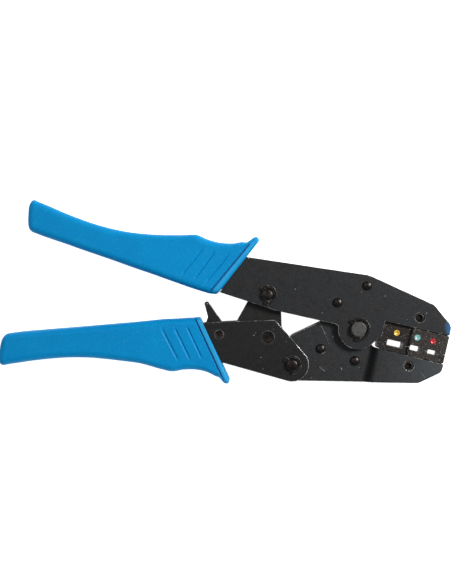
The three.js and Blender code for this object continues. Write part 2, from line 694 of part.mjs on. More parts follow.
const lowerGripStations = [
  [-180.2, -15.4, -178.9, -6.8, 7.0],
  [-179.7, -17.0, -178.1, -4.4, 8.5],
  [-178.2, -18.0, -176.4, -2.5, 9.3],
  [-174.5, -17.5, -172.8, -1.8, GRIP_HALF],
  [-160.4, -15.5, -158.5, -0.4, GRIP_HALF],
  [-142.0, -14.2, -140.2, 1.1, GRIP_HALF],
  [-133.0, -14.4, -132.0, 1.8, GRIP_HALF],
  [-125.5, -15.1, -125.0, 2.4, GRIP_HALF],
  [-117.0, -16.1, -118.0, 3.0, GRIP_HALF],
  [-109.7, -17.1, -112.0, 3.5, GRIP_HALF],
  [-98.5, -20.1, -103.0, 4.4, GRIP_HALF],
  [-93.3, -21.2, -98.0, 4.9, GRIP_HALF],
  [-87.0, -20.3, -93.5, 5.1, GRIP_HALF],
  [-80.5, -20.4, -89.0, 5.3, GRIP_HALF],
  [-75.5, -21.6, -85.8, 5.5, GRIP_HALF],
  [-71.4, -23.6, -83.2, 5.6, GRIP_HALF],
  [-69.6, -24.0, -82.2, 5.2, 8.7],
  [-68.2, -25.8, -81.6, 5.6, 9.1],
  [-66.7, -27.2, -80.6, 5.9, GRIP_HALF],
  [-65.0, -27.1, -79.0, 5.6, GRIP_HALF],
  [-64.3, -25.4, -78.4, 4.4, 8.8],
];

// A grip is hollow only where the plates' tang goes in.
function grip(stations, tang) {
  const pocketHalf = PLATE_OUT + GAP;
  const pocket = slab(grown(tang, GAP), -pocketHalf, pocketHalf);
  return toSolid(loft(stations.map(gripSection))).subtract(toSolid(pocket));
}
add('upper_grip', gripPlastic(), grip(upperGripStations, frameTang));
add('lower_grip', gripPlastic(), grip(lowerGripStations, handleTang));

export default tool;
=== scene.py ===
"""Looks of a ratchet crimping tool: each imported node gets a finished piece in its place.

Lengths are millimetres until a mesh is made. Heights are measured from the mid-plane of
the plates. Pins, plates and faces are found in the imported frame.
"""

import json
import math

import bmesh
import bpy
from mathutils import Matrix, Vector

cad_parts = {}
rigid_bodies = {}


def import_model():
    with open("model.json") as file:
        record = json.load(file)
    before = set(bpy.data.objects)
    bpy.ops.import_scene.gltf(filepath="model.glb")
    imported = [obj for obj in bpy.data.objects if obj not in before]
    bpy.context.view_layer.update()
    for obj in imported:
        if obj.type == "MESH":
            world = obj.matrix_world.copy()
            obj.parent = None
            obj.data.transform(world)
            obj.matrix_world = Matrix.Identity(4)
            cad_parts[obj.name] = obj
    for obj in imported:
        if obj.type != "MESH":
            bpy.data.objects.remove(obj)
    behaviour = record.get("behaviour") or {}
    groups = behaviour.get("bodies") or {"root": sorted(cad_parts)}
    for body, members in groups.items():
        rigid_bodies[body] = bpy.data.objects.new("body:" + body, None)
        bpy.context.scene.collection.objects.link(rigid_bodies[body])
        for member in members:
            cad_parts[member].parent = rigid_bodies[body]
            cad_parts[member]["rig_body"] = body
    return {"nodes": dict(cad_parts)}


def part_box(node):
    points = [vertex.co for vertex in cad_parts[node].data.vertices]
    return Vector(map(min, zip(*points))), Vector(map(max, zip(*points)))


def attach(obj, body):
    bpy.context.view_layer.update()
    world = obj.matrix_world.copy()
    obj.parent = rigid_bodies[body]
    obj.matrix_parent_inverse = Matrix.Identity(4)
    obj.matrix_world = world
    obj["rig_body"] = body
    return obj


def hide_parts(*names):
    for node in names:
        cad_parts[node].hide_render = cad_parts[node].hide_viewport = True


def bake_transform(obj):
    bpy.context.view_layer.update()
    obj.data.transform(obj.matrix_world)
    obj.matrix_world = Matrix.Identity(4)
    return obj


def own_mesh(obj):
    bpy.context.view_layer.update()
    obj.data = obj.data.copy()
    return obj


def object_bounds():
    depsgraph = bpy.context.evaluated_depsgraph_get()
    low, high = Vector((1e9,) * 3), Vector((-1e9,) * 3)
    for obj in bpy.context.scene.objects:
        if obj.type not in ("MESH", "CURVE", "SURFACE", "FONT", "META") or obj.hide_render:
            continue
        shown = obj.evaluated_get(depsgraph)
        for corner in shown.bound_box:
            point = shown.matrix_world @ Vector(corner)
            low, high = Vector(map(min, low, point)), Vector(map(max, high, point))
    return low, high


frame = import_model()
cad_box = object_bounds()

# ------------------------------------------------------------------ measures

MM = 0.001


def middle(node):
    """The middle of a node's box, in millimetres."""
    low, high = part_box(node)
    return (low + high) / 2 / MM


MID = middle("toggle_link").z


def axis_of(node):
    """Where a round node's upright axis stands: x and y."""
    return middle(node).xy


def heights(node):
    """The heights of a node's bottom and top above the mid-plane."""
    low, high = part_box(node)
    return low.z / MM - MID, high.z / MM - MID


MAIN = axis_of("main_pin")
LINK = axis_of("link_pin")
HANDLE = axis_of("handle_pin")
PAWL = axis_of("pawl_pin")
HOOK = axis_of("hook_pin")
SPRING_ANCHOR = axis_of("spring_anchor")
PAWL_ANCHOR = axis_of("pawl_spring_anchor")
PAWL_HOOK = PAWL + Vector((-4.6, 0.3))  # where the pawl holds its spring

# A domed rivet: its radius, the gap under its head and the head's height.
RIVET_R = 2.35
HEAD_FOOT = 0.1
RIVET_HEIGHT = 1.3

# Outer faces of the outer plates and of the jaw's tail, and the grips' half thickness.
PLATE_OUT = heights("frame_plate_front")[1]
TAIL_OUT = heights("jaw_rivet_1")[1] - RIVET_HEIGHT - HEAD_FOOT
GRIP_HALF = heights("upper_grip")[1]

# The die block's axis, the step in its thickness along it and the parting line across it.
DIE_TILT = math.radians(-12.9)
DIE_ALONG = Vector((math.cos(DIE_TILT), math.sin(DIE_TILT)))
DIE_ACROSS = Vector((-DIE_ALONG.y, DIE_ALONG.x))
DIE_STEP = 27.0
PARTING = -3.05

# The groove along each grip's rim, upper end to lower end, darkened with painted shade.
UPPER_RIM_LINE = ((-54.8, 42.1), (-73.6, 19.6))
LOWER_RIM_LINE = ((-81.5, 5.0), (-68.5, -23.2))
RIM_LINE_HALF = 0.55
# The rims themselves, beyond those lines, lightened with painted highlight.
UPPER_RIM = ((-52.6, 43.2), (-71.6, 19.2))
LOWER_RIM = ((-79.4, 4.2), (-66.0, -25.2))
RIM_HALF = 1.3

# Widths of the bevels, and of the jaw plates' softened creases.
EDGE = 0.25
WORN_EDGE = 0.4
SPACER_EDGE = 0.15
LINK_EDGE = 0.12
PAWL_EDGE = 0.3
DIE_EDGE = 0.14
CLIP_EDGE = 0.22
CREASE = 1.3

# Turns between faces that are still shaded smooth: on most pieces, on round ones, on grips.
SMOOTH_TURN = math.radians(32)
ROUND_TURN = math.radians(60)
GRIP_TURN = math.radians(50)

# The least turns at a plate's outline and at a die's edges, the range of the jaw's creases, and
# the most within a face that is flat.
OUTLINE_TURN = math.radians(50)
DIE_TURN = math.radians(55)
CREASE_TURNS = (math.radians(20), math.radians(60))
FLAT_TURN = math.radians(0.5)

PIN_SIDES = 64
TIP_R = 0.02  # the ring that a turned piece's ends close on

# ------------------------------------------------------------------ materials


class Shader:
    """One material's node tree, built a call at a time."""

    def __init__(self, name, metallic, roughness, color=(0.5, 0.5, 0.5)):
        self.material = bpy.data.materials.new(name)
        self.material.use_nodes = True
        self.tree = self.material.node_tree
        self.bsdf = self.tree.nodes["Principled BSDF"]
        self.place = self.node("ShaderNodeTexCoord").outputs["Object"]
        self.normal = None
        self.set("Metallic", metallic)
        self.set("Roughness", roughness)
        self.set("Base Color", (*color, 1))

    def node(self, kind, inputs=None, **settings):
        """A new node with these settings, its inputs set or linked."""
        made = self.tree.nodes.new(kind)
        for key, value in settings.items():
            setattr(made, key, value)
        for key, value in (inputs or {}).items():
            self.feed(made.inputs[key], value)
        return made

    def feed(self, socket, value):
        """Links another node's output to a socket, or sets the socket's value."""
        if isinstance(value, bpy.types.NodeSocket):
            self.tree.links.new(value, socket)
        else:
            socket.default_value = value

    def set(self, socket, value):
        self.feed(self.bsdf.inputs[socket], value)

    def math(self, operation, a, b=0.0, clamp=False):
        made = self.node("ShaderNodeMath", {0: a, 1: b}, operation=operation, use_clamp=clamp)
        return made.outputs[0]

    def vector(self, operation, a, b):
        """The first output of a vector sum, difference or product."""
        made = self.node("ShaderNodeVectorMath", {0: a, 1: b}, operation=operation)
        return made.outputs[0]

    def dot(self, a, b):
        made = self.node("ShaderNodeVectorMath", {0: a, 1: b}, operation="DOT_PRODUCT")
        return made.outputs["Value"]

    def length(self, a):
        return self.node("ShaderNodeVectorMath", {0: a}, operation="LENGTH").outputs["Value"]

    def noise(self, size, detail=3.0):
        """Soft noise with features about this many millimetres wide."""
        made = self.node("ShaderNodeTexNoise",
                         {"Vector": self.place, "Scale": 1 / (size * MM), "Detail": detail})
        return made.outputs["Fac"]

    def flecks(self, size, share):
        """Small ragged spots: about this share of cells of this size has one."""
        wobble = self.node("ShaderNodeTexNoise", {"Vector": self.place, "Scale": 2 / (size * MM)})
        shift = self.vector("SUBTRACT", wobble.outputs["Color"], (0.5, 0.5, 0.5))
        bent = self.vector("MULTIPLY", shift, (size * MM,) * 3)
        spot = self.vector("ADD", self.place, bent)
        cells = self.node("ShaderNodeTexVoronoi", {"Vector": spot, "Scale": 1 / (size * MM)})
        chance = self.node("ShaderNodeSeparateColor", {0: cells.outputs["Color"]}).outputs[0]
        chosen = self.math("LESS_THAN", chance, share)
        close = self.between(cells.outputs["Distance"], 0.32, 0.14)
        return self.math("MULTIPLY", chosen, close)

    def between(self, value, low, high, to_low=0.0, to_high=1.0):
        """A value spread from one range to another, and held inside it."""
        made = self.node("ShaderNodeMapRange", {0: value, 1: low, 2: high, 3: to_low, 4: to_high})
        return made.outputs[0]

    def mix(self, share, a, b):
        """This share of colour b over colour a; each is a triple or another node's output."""
        made = self.node("ShaderNodeMix", data_type="RGBA")
        self.feed(made.inputs[0], share)
        for index, color in ((6, a), (7, b)):
            self.feed(made.inputs[index], color if hasattr(color, "links") else (*color, 1))
        return made.outputs[2]

    def along(self, direction):
        """How far a point lies in a direction seen from above, in metres."""
        return self.dot(self.place, (*direction, 0))

    def level_from(self, point):
        """The level offset from an upright line through a point, in metres."""
        flat = self.vector("MULTIPLY", self.place, (1, 1, 0))
        return self.vector("SUBTRACT", flat, Vector((*point, 0)) * MM)

    def near(self, point, radius, soft):
        """One close to an upright line through a point, falling to zero past a radius."""
        distance = self.length(self.level_from(point))
        return self.between(distance, (radius + soft) * MM, radius * MM)

    def stroke(self, start, end, width):
        """One along a straight scratch seen from above, zero past its width."""
        run = (Vector((*end, 0)) - Vector((*start, 0))) * MM
        offset = self.level_from(start)
        share = self.dot(offset, run / run.length_squared)
        held = self.math("ADD", share, 0.0, clamp=True)
        spine = self.node("ShaderNodeVectorMath", {0: tuple(run), "Scale": held},
                          operation="SCALE").outputs[0]
        distance = self.length(self.vector("SUBTRACT", offset, spine))
        return self.between(distance, width * MM, width * MM * 0.35)

    def bump(self, height, depth):
        """Relief of this depth in millimetres, on top of any before it."""
        made = self.node("ShaderNodeBump", {"Height": height, "Strength": 1.0,
                                            "Distance": depth * MM})
        if self.normal is not None:
            self.feed(made.inputs["Normal"], self.normal)
        self.normal = made.outputs[0]
        self.set("Normal", self.normal)


BARE_STEEL = (0.42, 0.41, 0.39)
# Colours of the painted light on the jaw's nose and of the painted shade in its bend.
NOSE_PAINTED_LIGHT = (0.062, 0.070, 0.074)
BEND_PAINTED_SHADE = (0.005, 0.005, 0.0055)


def blackened_steel(name, base=(0.0165, 0.0182, 0.0205), brown=(0.0225, 0.0195, 0.0175),
                    scratches=(), tint=None, marks=0.008, painted_light_from=None, painted_shade_span=None):
    """Black-oxide steel: grainy, satin, with small bright nicks and any given scratches.

    Of the last two arguments, the first is how far along the die's axis the finish begins to turn
    paler, painted light that grows towards the nose; the second is the stretch of that axis that
    is darkened with painted shade."""
    steel = Shader(name, metallic=0.55, roughness=0.45)
    cloud = steel.between(steel.noise(9, 4), 0.35, 0.7)
    grain = steel.between(steel.noise(0.7, 3), 0.42, 0.66)
    color = steel.mix(cloud, base, brown)
    color = steel.mix(steel.math("MULTIPLY", grain, 0.5), color, [c * 2.6 for c in base])
    # Painted light: paler towards the nose along the die's axis.
    if painted_light_from is not None:
        reach = steel.along(DIE_ALONG)
        rise = steel.between(reach, painted_light_from * MM, (painted_light_from + 30) * MM, 0, 0.8)
        color = steel.mix(rise, color, NOSE_PAINTED_LIGHT)
    # Painted shade: dull and dark over a stretch of the die's axis.
    if painted_shade_span is not None:
        start, end = painted_shade_span
        reach = steel.along(DIE_ALONG)
        inside = steel.math("MULTIPLY", steel.between(reach, (start - 0.4) * MM, start * MM),
                            steel.between(reach, end * MM, (end - 2.5) * MM))
        color = steel.mix(steel.math("MULTIPLY", inside, 0.85), color, BEND_PAINTED_SHADE)
    if tint is not None:
        where, radius, soft, shade = tint
        patch = steel.math("MULTIPLY", steel.near(where, radius, soft),
                           steel.between(steel.noise(3, 3), 0.25, 0.5))
        color = steel.mix(patch, color, shade)
        steel.set("Metallic", steel.math("MULTIPLY", steel.math("SUBTRACT", 1.0, patch), 0.55))
    worn = steel.flecks(0.9, marks)
    for start, end, width, strength in scratches:
        line = steel.math("MULTIPLY", steel.stroke(start, end, width), strength)
        broken = steel.math("MULTIPLY", line, steel.between(steel.noise(0.7, 2), 0.35, 0.6))
        worn = steel.math("MAXIMUM", worn, broken)
    steel.set("Base Color", steel.mix(worn, color, BARE_STEEL))
    steel.set("Roughness", steel.between(steel.noise(2.5, 3), 0.3, 0.7, 0.42, 0.6))
    steel.bump(steel.noise(0.45, 2), 0.012)
    steel.bump(steel.noise(6, 2), 0.03)
    return steel.material


def edge_wear_and_highlight(name, coverage=0.8, places=(), bare=(0.62, 0.61, 0.58)):
    """A plate's edge, with the black worn through in patches and lightened with painted highlight
    where edges catch the light; more so near given places.
    """
    steel = Shader(name, metallic=0.45, roughness=0.4)
    patches = steel.noise(2.2, 4)
    limit = 0.72 - 0.3 * coverage
    worn_and_highlit = steel.between(patches, limit, limit + 0.1, 0.08, 0.6)
    for point, radius, soft in places:
        fine = steel.between(steel.noise(1.1, 4), 0.34, 0.5)
        worn_and_highlit = steel.math("MAXIMUM", worn_and_highlit, steel.math("MULTIPLY", fine,
                                                          steel.near(point, radius, soft)))
    steel.set("Base Color", steel.mix(worn_and_highlit, (0.022, 0.022, 0.023), bare))
    steel.set("Roughness", steel.between(worn_and_highlit, 0, 1, 0.45, 0.32))
    steel.bump(steel.noise(0.5, 3), 0.02)
    return steel.material


def die_steel():
    """Dark brown, coarse-ground steel with many tiny glints."""
    steel = Shader("die_steel", metallic=0.6, roughness=0.5)
    grain = steel.between(steel.noise(0.7, 3), 0.35, 0.7)
    dark = steel.mix(grain, (0.010, 0.0072, 0.006), (0.040, 0.033, 0.029))
    pale = steel.mix(grain, (0.015, 0.0115, 0.0098), (0.066, 0.058, 0.053))
    thick = steel.math("GREATER_THAN", steel.along(DIE_ALONG), DIE_STEP * MM)
    glints = steel.math("MULTIPLY", steel.flecks(0.7, 0.16), 0.8)
    steel.set("Base Color", steel.mix(glints, steel.mix(thick, dark, pale), BARE_STEEL))
    steel.set("Roughness", steel.between(steel.noise(1.5, 2), 0.3, 0.7, 0.4, 0.62))
    steel.bump(steel.noise(0.55, 3), 0.05)
    return steel.material


def pin_steel():
    """Semi-gloss brown-black steel of rivets, pins and clips."""
    steel = Shader("pin_steel", metallic=0.9, roughness=0.32)
    cloud = steel.between(steel.noise(1.2, 3), 0.3, 0.7)
    steel.set("Base Color", steel.mix(cloud, (0.020, 0.016, 0.014), (0.050, 0.044, 0.040)))
    steel.set("Roughness", steel.between(steel.noise(0.6, 3), 0.3, 0.7, 0.24, 0.42))
    steel.bump(steel.noise(0.5, 2), 0.015)
    return steel.material


def bright_steel():
    """The main pin: pale end, coarse and speckled."""
    steel = Shader("bright_steel", metallic=0.6, roughness=0.5)
    cloud = steel.between(steel.noise(0.9, 4), 0.3, 0.7)
    steel.set("Base Color", steel.mix(cloud, (0.055, 0.054, 0.052), (0.118, 0.116, 0.112)))
    steel.set("Roughness", steel.between(steel.noise(0.8, 2), 0.3, 0.7, 0.4, 0.6))
    steel.bump(steel.noise(0.5, 3), 0.05)
    return steel.material


def spring_steel():
    """Plain bright wire."""
    steel = Shader("spring_steel", metallic=1.0, roughness=0.3)
    cloud = steel.between(steel.noise(1.5, 3), 0.3, 0.7)
    steel.set("Base Color", steel.mix(cloud, (0.22, 0.21, 0.20), (0.40, 0.39, 0.37)))
    steel.bump(steel.noise(0.4, 2), 0.01)
    return steel.material


# Painted shade in the groove along a grip's rim.
RIM_LINE_PAINTED_SHADE = (0.02, 0.05, 0.22)
# Painted highlight on a grip's rim.
RIM_PAINTED_HIGHLIGHT = (0.06, 0.46, 0.80)


def grip_plastic():
    """Moulded blue plastic with a fine eroded texture."""
    plastic = Shader("grip_plastic", metallic=0.0, roughness=0.5)
    cloud = plastic.between(plastic.noise(14, 3), 0.3, 0.7)
    color = plastic.mix(cloud, (0.0, 0.245, 0.57), (0.0, 0.272, 0.61))
    speck = plastic.between(plastic.noise(0.6, 2), 0.52, 0.68, 0, 0.34)
    color = plastic.mix(speck, color, (0.01, 0.40, 0.76))
    # Painted highlight on the rims at the guards.
    for start, end in (UPPER_RIM, LOWER_RIM):
        rim = plastic.stroke(start, end, RIM_HALF)
        color = plastic.mix(plastic.math("MULTIPLY", rim, 0.45), color, RIM_PAINTED_HIGHLIGHT)
    # Painted shade in the grooves along the rims.
    for start, end in (UPPER_RIM_LINE, LOWER_RIM_LINE):
        line = plastic.stroke(start, end, RIM_LINE_HALF)
        color = plastic.mix(plastic.math("MULTIPLY", line, 0.75), color, RIM_LINE_PAINTED_SHADE)
    dust = plastic.math("MULTIPLY", plastic.flecks(0.8, 0.02), 0.2)
    plastic.set("Base Color", plastic.mix(dust, color, (0.45, 0.75, 0.92)))
    plastic.set("Specular IOR Level", 0.12)
    plastic.set("Roughness", plastic.between(plastic.noise(1.2, 3), 0.3, 0.7, 0.4, 0.55))
    plastic.bump(plastic.noise(0.45, 2), 0.05)
    return plastic.material


def enamel(name, color, pale):
    """Glossy stoving enamel, a little thinner and paler in places."""
    paint = Shader(name, metallic=0.0, roughness=0.16)
    cloud = paint.between(paint.noise(1.4, 2), 0.35, 0.7, 0, 0.6)
    paint.set("Base Color", paint.mix(cloud, color, pale))
    paint.set("Coat Weight", 0.6)
    paint.bump(paint.noise(1.0, 1), 0.02)
    return paint.material


def floor_white():
    """A floor that gives its own light, so that it stays pale all over."""
    white = Shader("floor_white", metallic=0.0, roughness=0.9)
    white.set("Base Color", white.mix(white.noise(400, 1), (0.9, 0.9, 0.9), (0.92, 0.92, 0.92)))
    white.set("Emission Color", (1, 1, 1, 1))
    white.set("Emission Strength", 1.0)
    return white.material


# Scratches on the jaw plates: start, end, half width and strength.
JAW_SCRATCHES = [
    ((-18.9, 2.9), (-16.3, -2.2), 0.22, 0.9),
    ((-16.3, -2.2), (-14.2, -7.6), 0.16, 0.45),
    ((-17.8, -12.4), (-16.6, -11.7), 0.3, 0.6),
    ((-19.0, -19.2), (-16.4, -21.2), 0.3, 0.7),
    ((-8.2, -19.3), (-7.7, -20.8), 0.3, 0.8),
    ((31.4, -21.5), (33.4, -24.3), 0.25, 0.45),
    ((-12.6, -3.6), (-12.2, -4.2), 0.3, 0.7),
]

# Blue paint on the frame's nose: its middle, radius, soft margin and colour.
NOSE_PAINT = ((50.6, 1.4), 6.2, 1.5, (0.004, 0.115, 0.31))

# The jaw plates turn paler from the first place along the die's axis, painted light that grows towards
# the nose, and are darkened in the bend with painted shade, where its slope faces away from the light.
JAW_PAINTED_LIGHT_FROM = 14
JAW_BEND_SHADE = (8.6, 13.2)

# Where the handle plates' edges are worn and lightened with painted highlight most: a place, a radius
# and a soft margin.
HANDLE_WEAR_AND_HIGHLIGHT = [(HANDLE + Vector((7.5, 3.5)), 7.0, 3.0), (LINK + Vector((4, -16)), 4.0, 3.0)]

MATERIALS = {
    "plate": blackened_steel("blackened_steel"),
    "frame": blackened_steel("blackened_steel_frame", tint=NOSE_PAINT),
    "jaw": blackened_steel("blackened_steel_jaw", (0.022, 0.0235, 0.0255), (0.024, 0.023, 0.0225),
                           JAW_SCRATCHES, marks=0.012, painted_light_from=JAW_PAINTED_LIGHT_FROM, painted_shade_span=JAW_BEND_SHADE),
    "handle": blackened_steel("blackened_steel_handle", (0.0115, 0.0118, 0.013),
                              (0.0135, 0.012, 0.011)),
    "link": blackened_steel("blackened_steel_link", (0.0135, 0.013, 0.0126),
                            (0.0165, 0.0138, 0.012)),
    # Edge finishes: wear mixed with painted highlight; on the die also painted reflection, and on pins
    # and clips painted highlight alone.
    "edge": edge_wear_and_highlight("edge_wear_and_highlight"),
    "die_edge": edge_wear_and_highlight("die_edge_wear_and_highlight", 0.8, bare=(0.55, 0.53, 0.50)),
    "pin_edge": edge_wear_and_highlight("pin_edge_painted_highlight", 0.5, bare=(0.4, 0.385, 0.36)),
    "handle_edge": edge_wear_and_highlight("handle_edge_wear_and_highlight", 0.6, HANDLE_WEAR_AND_HIGHLIGHT, (0.34, 0.33, 0.315)),
    "die": die_steel(),
    "pin": pin_steel(),
    "bright": bright_steel(),
    "spring": spring_steel(),
    "grip": grip_plastic(),
    "yellow": enamel("enamel_yellow", (0.72, 0.40, 0.03), (0.85, 0.60, 0.12)),
    "blue": enamel("enamel_blue", (0.22, 0.52, 0.50), (0.40, 0.68, 0.66)),
    "red": enamel("enamel_red", (0.52, 0.012, 0.025), (0.62, 0.04, 0.06)),
}

# ------------------------------------------------------------------ mesh helpers


def finish_piece(bm, name, *materials):
    """A mesh from millimetres about the mid-plane to an object in the row frame."""
    bmesh.ops.recalc_face_normals(bm, faces=bm.faces)
    data = bpy.data.meshes.new(name)
    bm.to_mesh(data)
    bm.free()
    data.transform(Matrix.Scale(MM, 4) @ Matrix.Translation((0, 0, MID)))
    return place(name, data, *materials)


def place(name, data, *materials):
    """An object with this mesh and these materials, in the scene."""
    piece = bpy.data.objects.new(name, data)
    bpy.context.scene.collection.objects.link(piece)
    data.materials.clear()
    for material in materials:
        data.materials.append(MATERIALS[material])
    return piece


def settle(piece):
    """Makes a piece's modifiers part of its mesh."""
    graph = bpy.context.evaluated_depsgraph_get()
    data = bpy.data.meshes.new_from_object(piece.evaluated_get(graph))
    piece.modifiers.clear()
    piece.data = data


def smooth(piece, turn=SMOOTH_TURN):
    """Smooth shading over gentle turns, with flat faces kept flat."""
    data = piece.data
    data.polygons.foreach_set("use_smooth", [True] * len(data.polygons))
    data.set_sharp_from_angle(angle=turn)
    weights = piece.modifiers.new("weights", "WEIGHTED_NORMAL")
    weights.keep_sharp = True


def round_edges(piece, width, segments, material):
    """Rounds all sharp edges of a piece; the new faces take one of its materials."""
    bevel = piece.modifiers.new("edges", "BEVEL")
    bevel.width = width * MM
    bevel.segments = segments
    bevel.angle_limit = SMOOTH_TURN
    bevel.miter_outer = "MITER_ARC"
    bevel.material = material
    settle(piece)


def cut(piece, *cutters):
    """Takes the cutters' shapes out of a piece and removes them."""
    for cutter in cutters:
        boolean = piece.modifiers.new("cut", "BOOLEAN")
        boolean.object = cutter
        boolean.operation = "DIFFERENCE"
        boolean.solver = "EXACT"
    settle(piece)
    for cutter in cutters:
        bpy.data.objects.remove(cutter)


def show(piece, body, slot, *nodes):
    """A finished piece rides on its body and stands for its nodes."""
    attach(piece, body)
    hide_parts(*nodes)


def arc(centre, r, start, end, step=6):
    """Points on a circle between two angles in degrees."""
    count = max(1, round(abs(end - start) / step))
    angles = [math.radians(start + (end - start) * i / count) for i in range(count + 1)]
    return [(centre[0] + r * math.cos(a), centre[1] + r * math.sin(a)) for a in angles]


def skin(bm, rings, closed=False):
    """Quads between neighbouring rings of vertices; caps at both ends unless closed."""
    pairs = list(zip(rings, rings[1:]))
    if closed:
        pairs.append((rings[-1], rings[0]))
    for low, high in pairs:
        size = len(low)
        for j in range(size):
            k = (j + 1) % size
            bm.faces.new((low[j], low[k], high[k], high[j]))
    if not closed:
        bm.faces.new(rings[0][::-1])
        bm.faces.new(rings[-1])


def turned(name, at, profile, *materials, sides=PIN_SIDES):
    """A turned piece on an upright axis: (radius, height) points from bottom to top."""
    bm = bmesh.new()
    rings = []
    for r, h in profile:
        circle = arc(at, r, 0, 360, 360 / sides)[:-1]
        rings.append([bm.verts.new((x, y, h)) for x, y in circle])
    skin(bm, rings)
    return finish_piece(bm, name, *materials)


def slab(name, outline, low, high, *materials):
    """A flat piece between two heights."""
    bm = bmesh.new()
    skin(bm, [[bm.verts.new((x, y, z)) for x, y in outline] for z in (low, high)])
    return finish_piece(bm, name, *materials)


def dome(r, foot, height, steps=9):
    """Profile points of a rounded rivet head, from its rim to near its middle."""
    turns = [math.pi / 2 * i / steps for i in range(steps)]
    rise = [(r * math.cos(a), foot + height * math.sin(a)) for a in turns]
    return rise + [(TIP_R, foot + height)]


def mirrored(profile):
    """The same profile below the mid-plane, followed by the one above it."""
    return [(r, -h) for r, h in reversed(profile)] + profile


def paint_highlight_rings(piece, at, height, inner, outer):
    """Gives a turned piece's faces between two radii, near both its ends, the pin-edge finish: a
    painted highlight ring.
    """
    piece.data.materials.append(MATERIALS["pin_edge"])
    centre = Vector(at) * MM
    for face in piece.data.polygons:
        reach = (face.center.xy - centre).length / MM
        if inner < reach < outer and abs(face.center.z / MM - MID) > height:
            face.material_index = len(piece.data.materials) - 1


# ------------------------------------------------------------------ plates


def own_shape(node, name, *materials):
    """A copy of a node's shape, with its flat faces whole."""
    bm = bmesh.new()
    bm.from_mesh(frame["nodes"][node].data)
    bmesh.ops.remove_doubles(bm, verts=bm.verts, dist=1e-6)
    bmesh.ops.dissolve_limit(bm, angle_limit=FLAT_TURN, verts=bm.verts, edges=bm.edges)
    data = bpy.data.meshes.new(name)
    bm.to_mesh(data)
    bm.free()
    return place(name, data, *materials)


def bevel_edges(piece, chosen, width, segments, material=-1):
    """Bevels the edges that a test chooses; the new faces match their neighbours by default."""
    bm = bmesh.new()
    bm.from_mesh(piece.data)
    bmesh.ops.bevel(bm, geom=[e for e in bm.edges if chosen(e)], offset=width * MM,
                    offset_type="OFFSET", segments=segments, profile=0.5, affect="EDGES",
                    clamp_overlap=False, material=material)
    bm.to_mesh(piece.data)
    bm.free()


def is_outline(edge):
    """A sharp edge round a face of a plate or one of its holes, not one through its thickness."""
    if len(edge.link_faces) != 2 or edge.calc_face_angle() < OUTLINE_TURN:
        return False
    run = (edge.verts[1].co - edge.verts[0].co).normalized()
    return abs(run.z) < 0.9


def plate(node, body, surface="plate", edge="edge", width=EDGE):
    """A flat plate with the rims of its faces and holes bevelled."""
    piece = own_shape(node, f"{node}_finished", surface, edge)
    # The bevels take the edge finish: wear with painted highlight.
    bevel_edges(piece, is_outline, width, 2, material=1)
    smooth(piece)
    show(piece, body, "blackened_steel", node)


def is_crease(edge):
    """Whether an edge is one of the jaw plate's gentle creases, across the die's axis."""
    if len(edge.link_faces) != 2:
        return False
    least, most = CREASE_TURNS
    run = (edge.verts[1].co - edge.verts[0].co).normalized()
    return abs(run.dot((*DIE_ACROSS, 0))) > 0.98 and least < edge.calc_face_angle() < most


def jaw_plate(node):
    """The jaw plates are pressed outwards in a soft step to hold the die."""
    piece = own_shape(node, f"{node}_finished", "jaw", "edge")
    bevel_edges(piece, is_crease, CREASE, 7)
    # The bevels take the edge finish: wear with painted highlight.
    bevel_edges(piece, is_outline, EDGE, 2, material=1)
    smooth(piece)
    show(piece, "jaw", "blackened_steel", node)


for face in ("front", "back"):
    plate(f"frame_plate_{face}", "frame", "frame")
    plate(f"handle_plate_{face}", "handle", "handle", "handle_edge", WORN_EDGE)
    jaw_plate(f"jaw_plate_{face}")
for node, body in (("head_spacer", "frame"), ("rear_spacer", "frame"), ("jaw_spacer", "jaw"),
                   ("handle_spacer", "handle")):
    plate(node, body, width=SPACER_EDGE)
plate("toggle_link", "link", "link", width=LINK_EDGE)
plate("ratchet_pawl", "pawl", "link", width=PAWL_EDGE)

# ------------------------------------------------------------------ pins, rivets and clips

SHANK_R = 1.6
HEAD_RIM = 0.15  # the upright rim of a domed head
SHOULDER = 4.0  # where flush rivets step down, inside the outer plates
GROOVE_DEPTH = 0.8
GROOVE_PLAY = 0.1
HEAD_GAP = 0.3  # between a pin's flat head and the plate
CLIP_OPENING = 195
HOOK_R = 0.8


def domed_rivet(node, body, face):
    """A rivet with the same domed head on both faces."""
    foot = face + HEAD_FOOT
    upper = [(SHANK_R, foot), (RIVET_R - 0.12, foot)]
    upper += dome(RIVET_R, foot + HEAD_RIM, RIVET_HEIGHT - HEAD_RIM)
    piece = turned(f"{node}_finished", axis_of(node), mirrored(upper), "pin")
    smooth(piece)
    show(piece, body, "pin_steel", node)


def flush_rivet(node, body, end_r, middle_r, flare=0.0, dish=0.0):
    """A rivet hammered flush: its ends flare into their holes and dish a little."""
    at = axis_of(node)
    top = PLATE_OUT
    upper = [(middle_r, SHOULDER - 0.1), (middle_r - 0.1, SHOULDER), (end_r, SHOULDER)]
    upper += [(end_r, top - 0.42), (end_r + flare, top - 0.1), (end_r + flare - 0.1, top)]
    upper += [(end_r * 0.8, top - dish * 0.5), (end_r * 0.4, top - dish), (TIP_R, top - dish)]
    piece = turned(f"{node}_finished", at, mirrored(upper), "pin")
    # A flared end gets a ring of painted highlight round its flare.
    if flare:
        paint_highlight_rings(piece, at, top - 0.5, end_r, end_r + flare)
    smooth(piece)
    show(piece, body, "pin_steel", node)


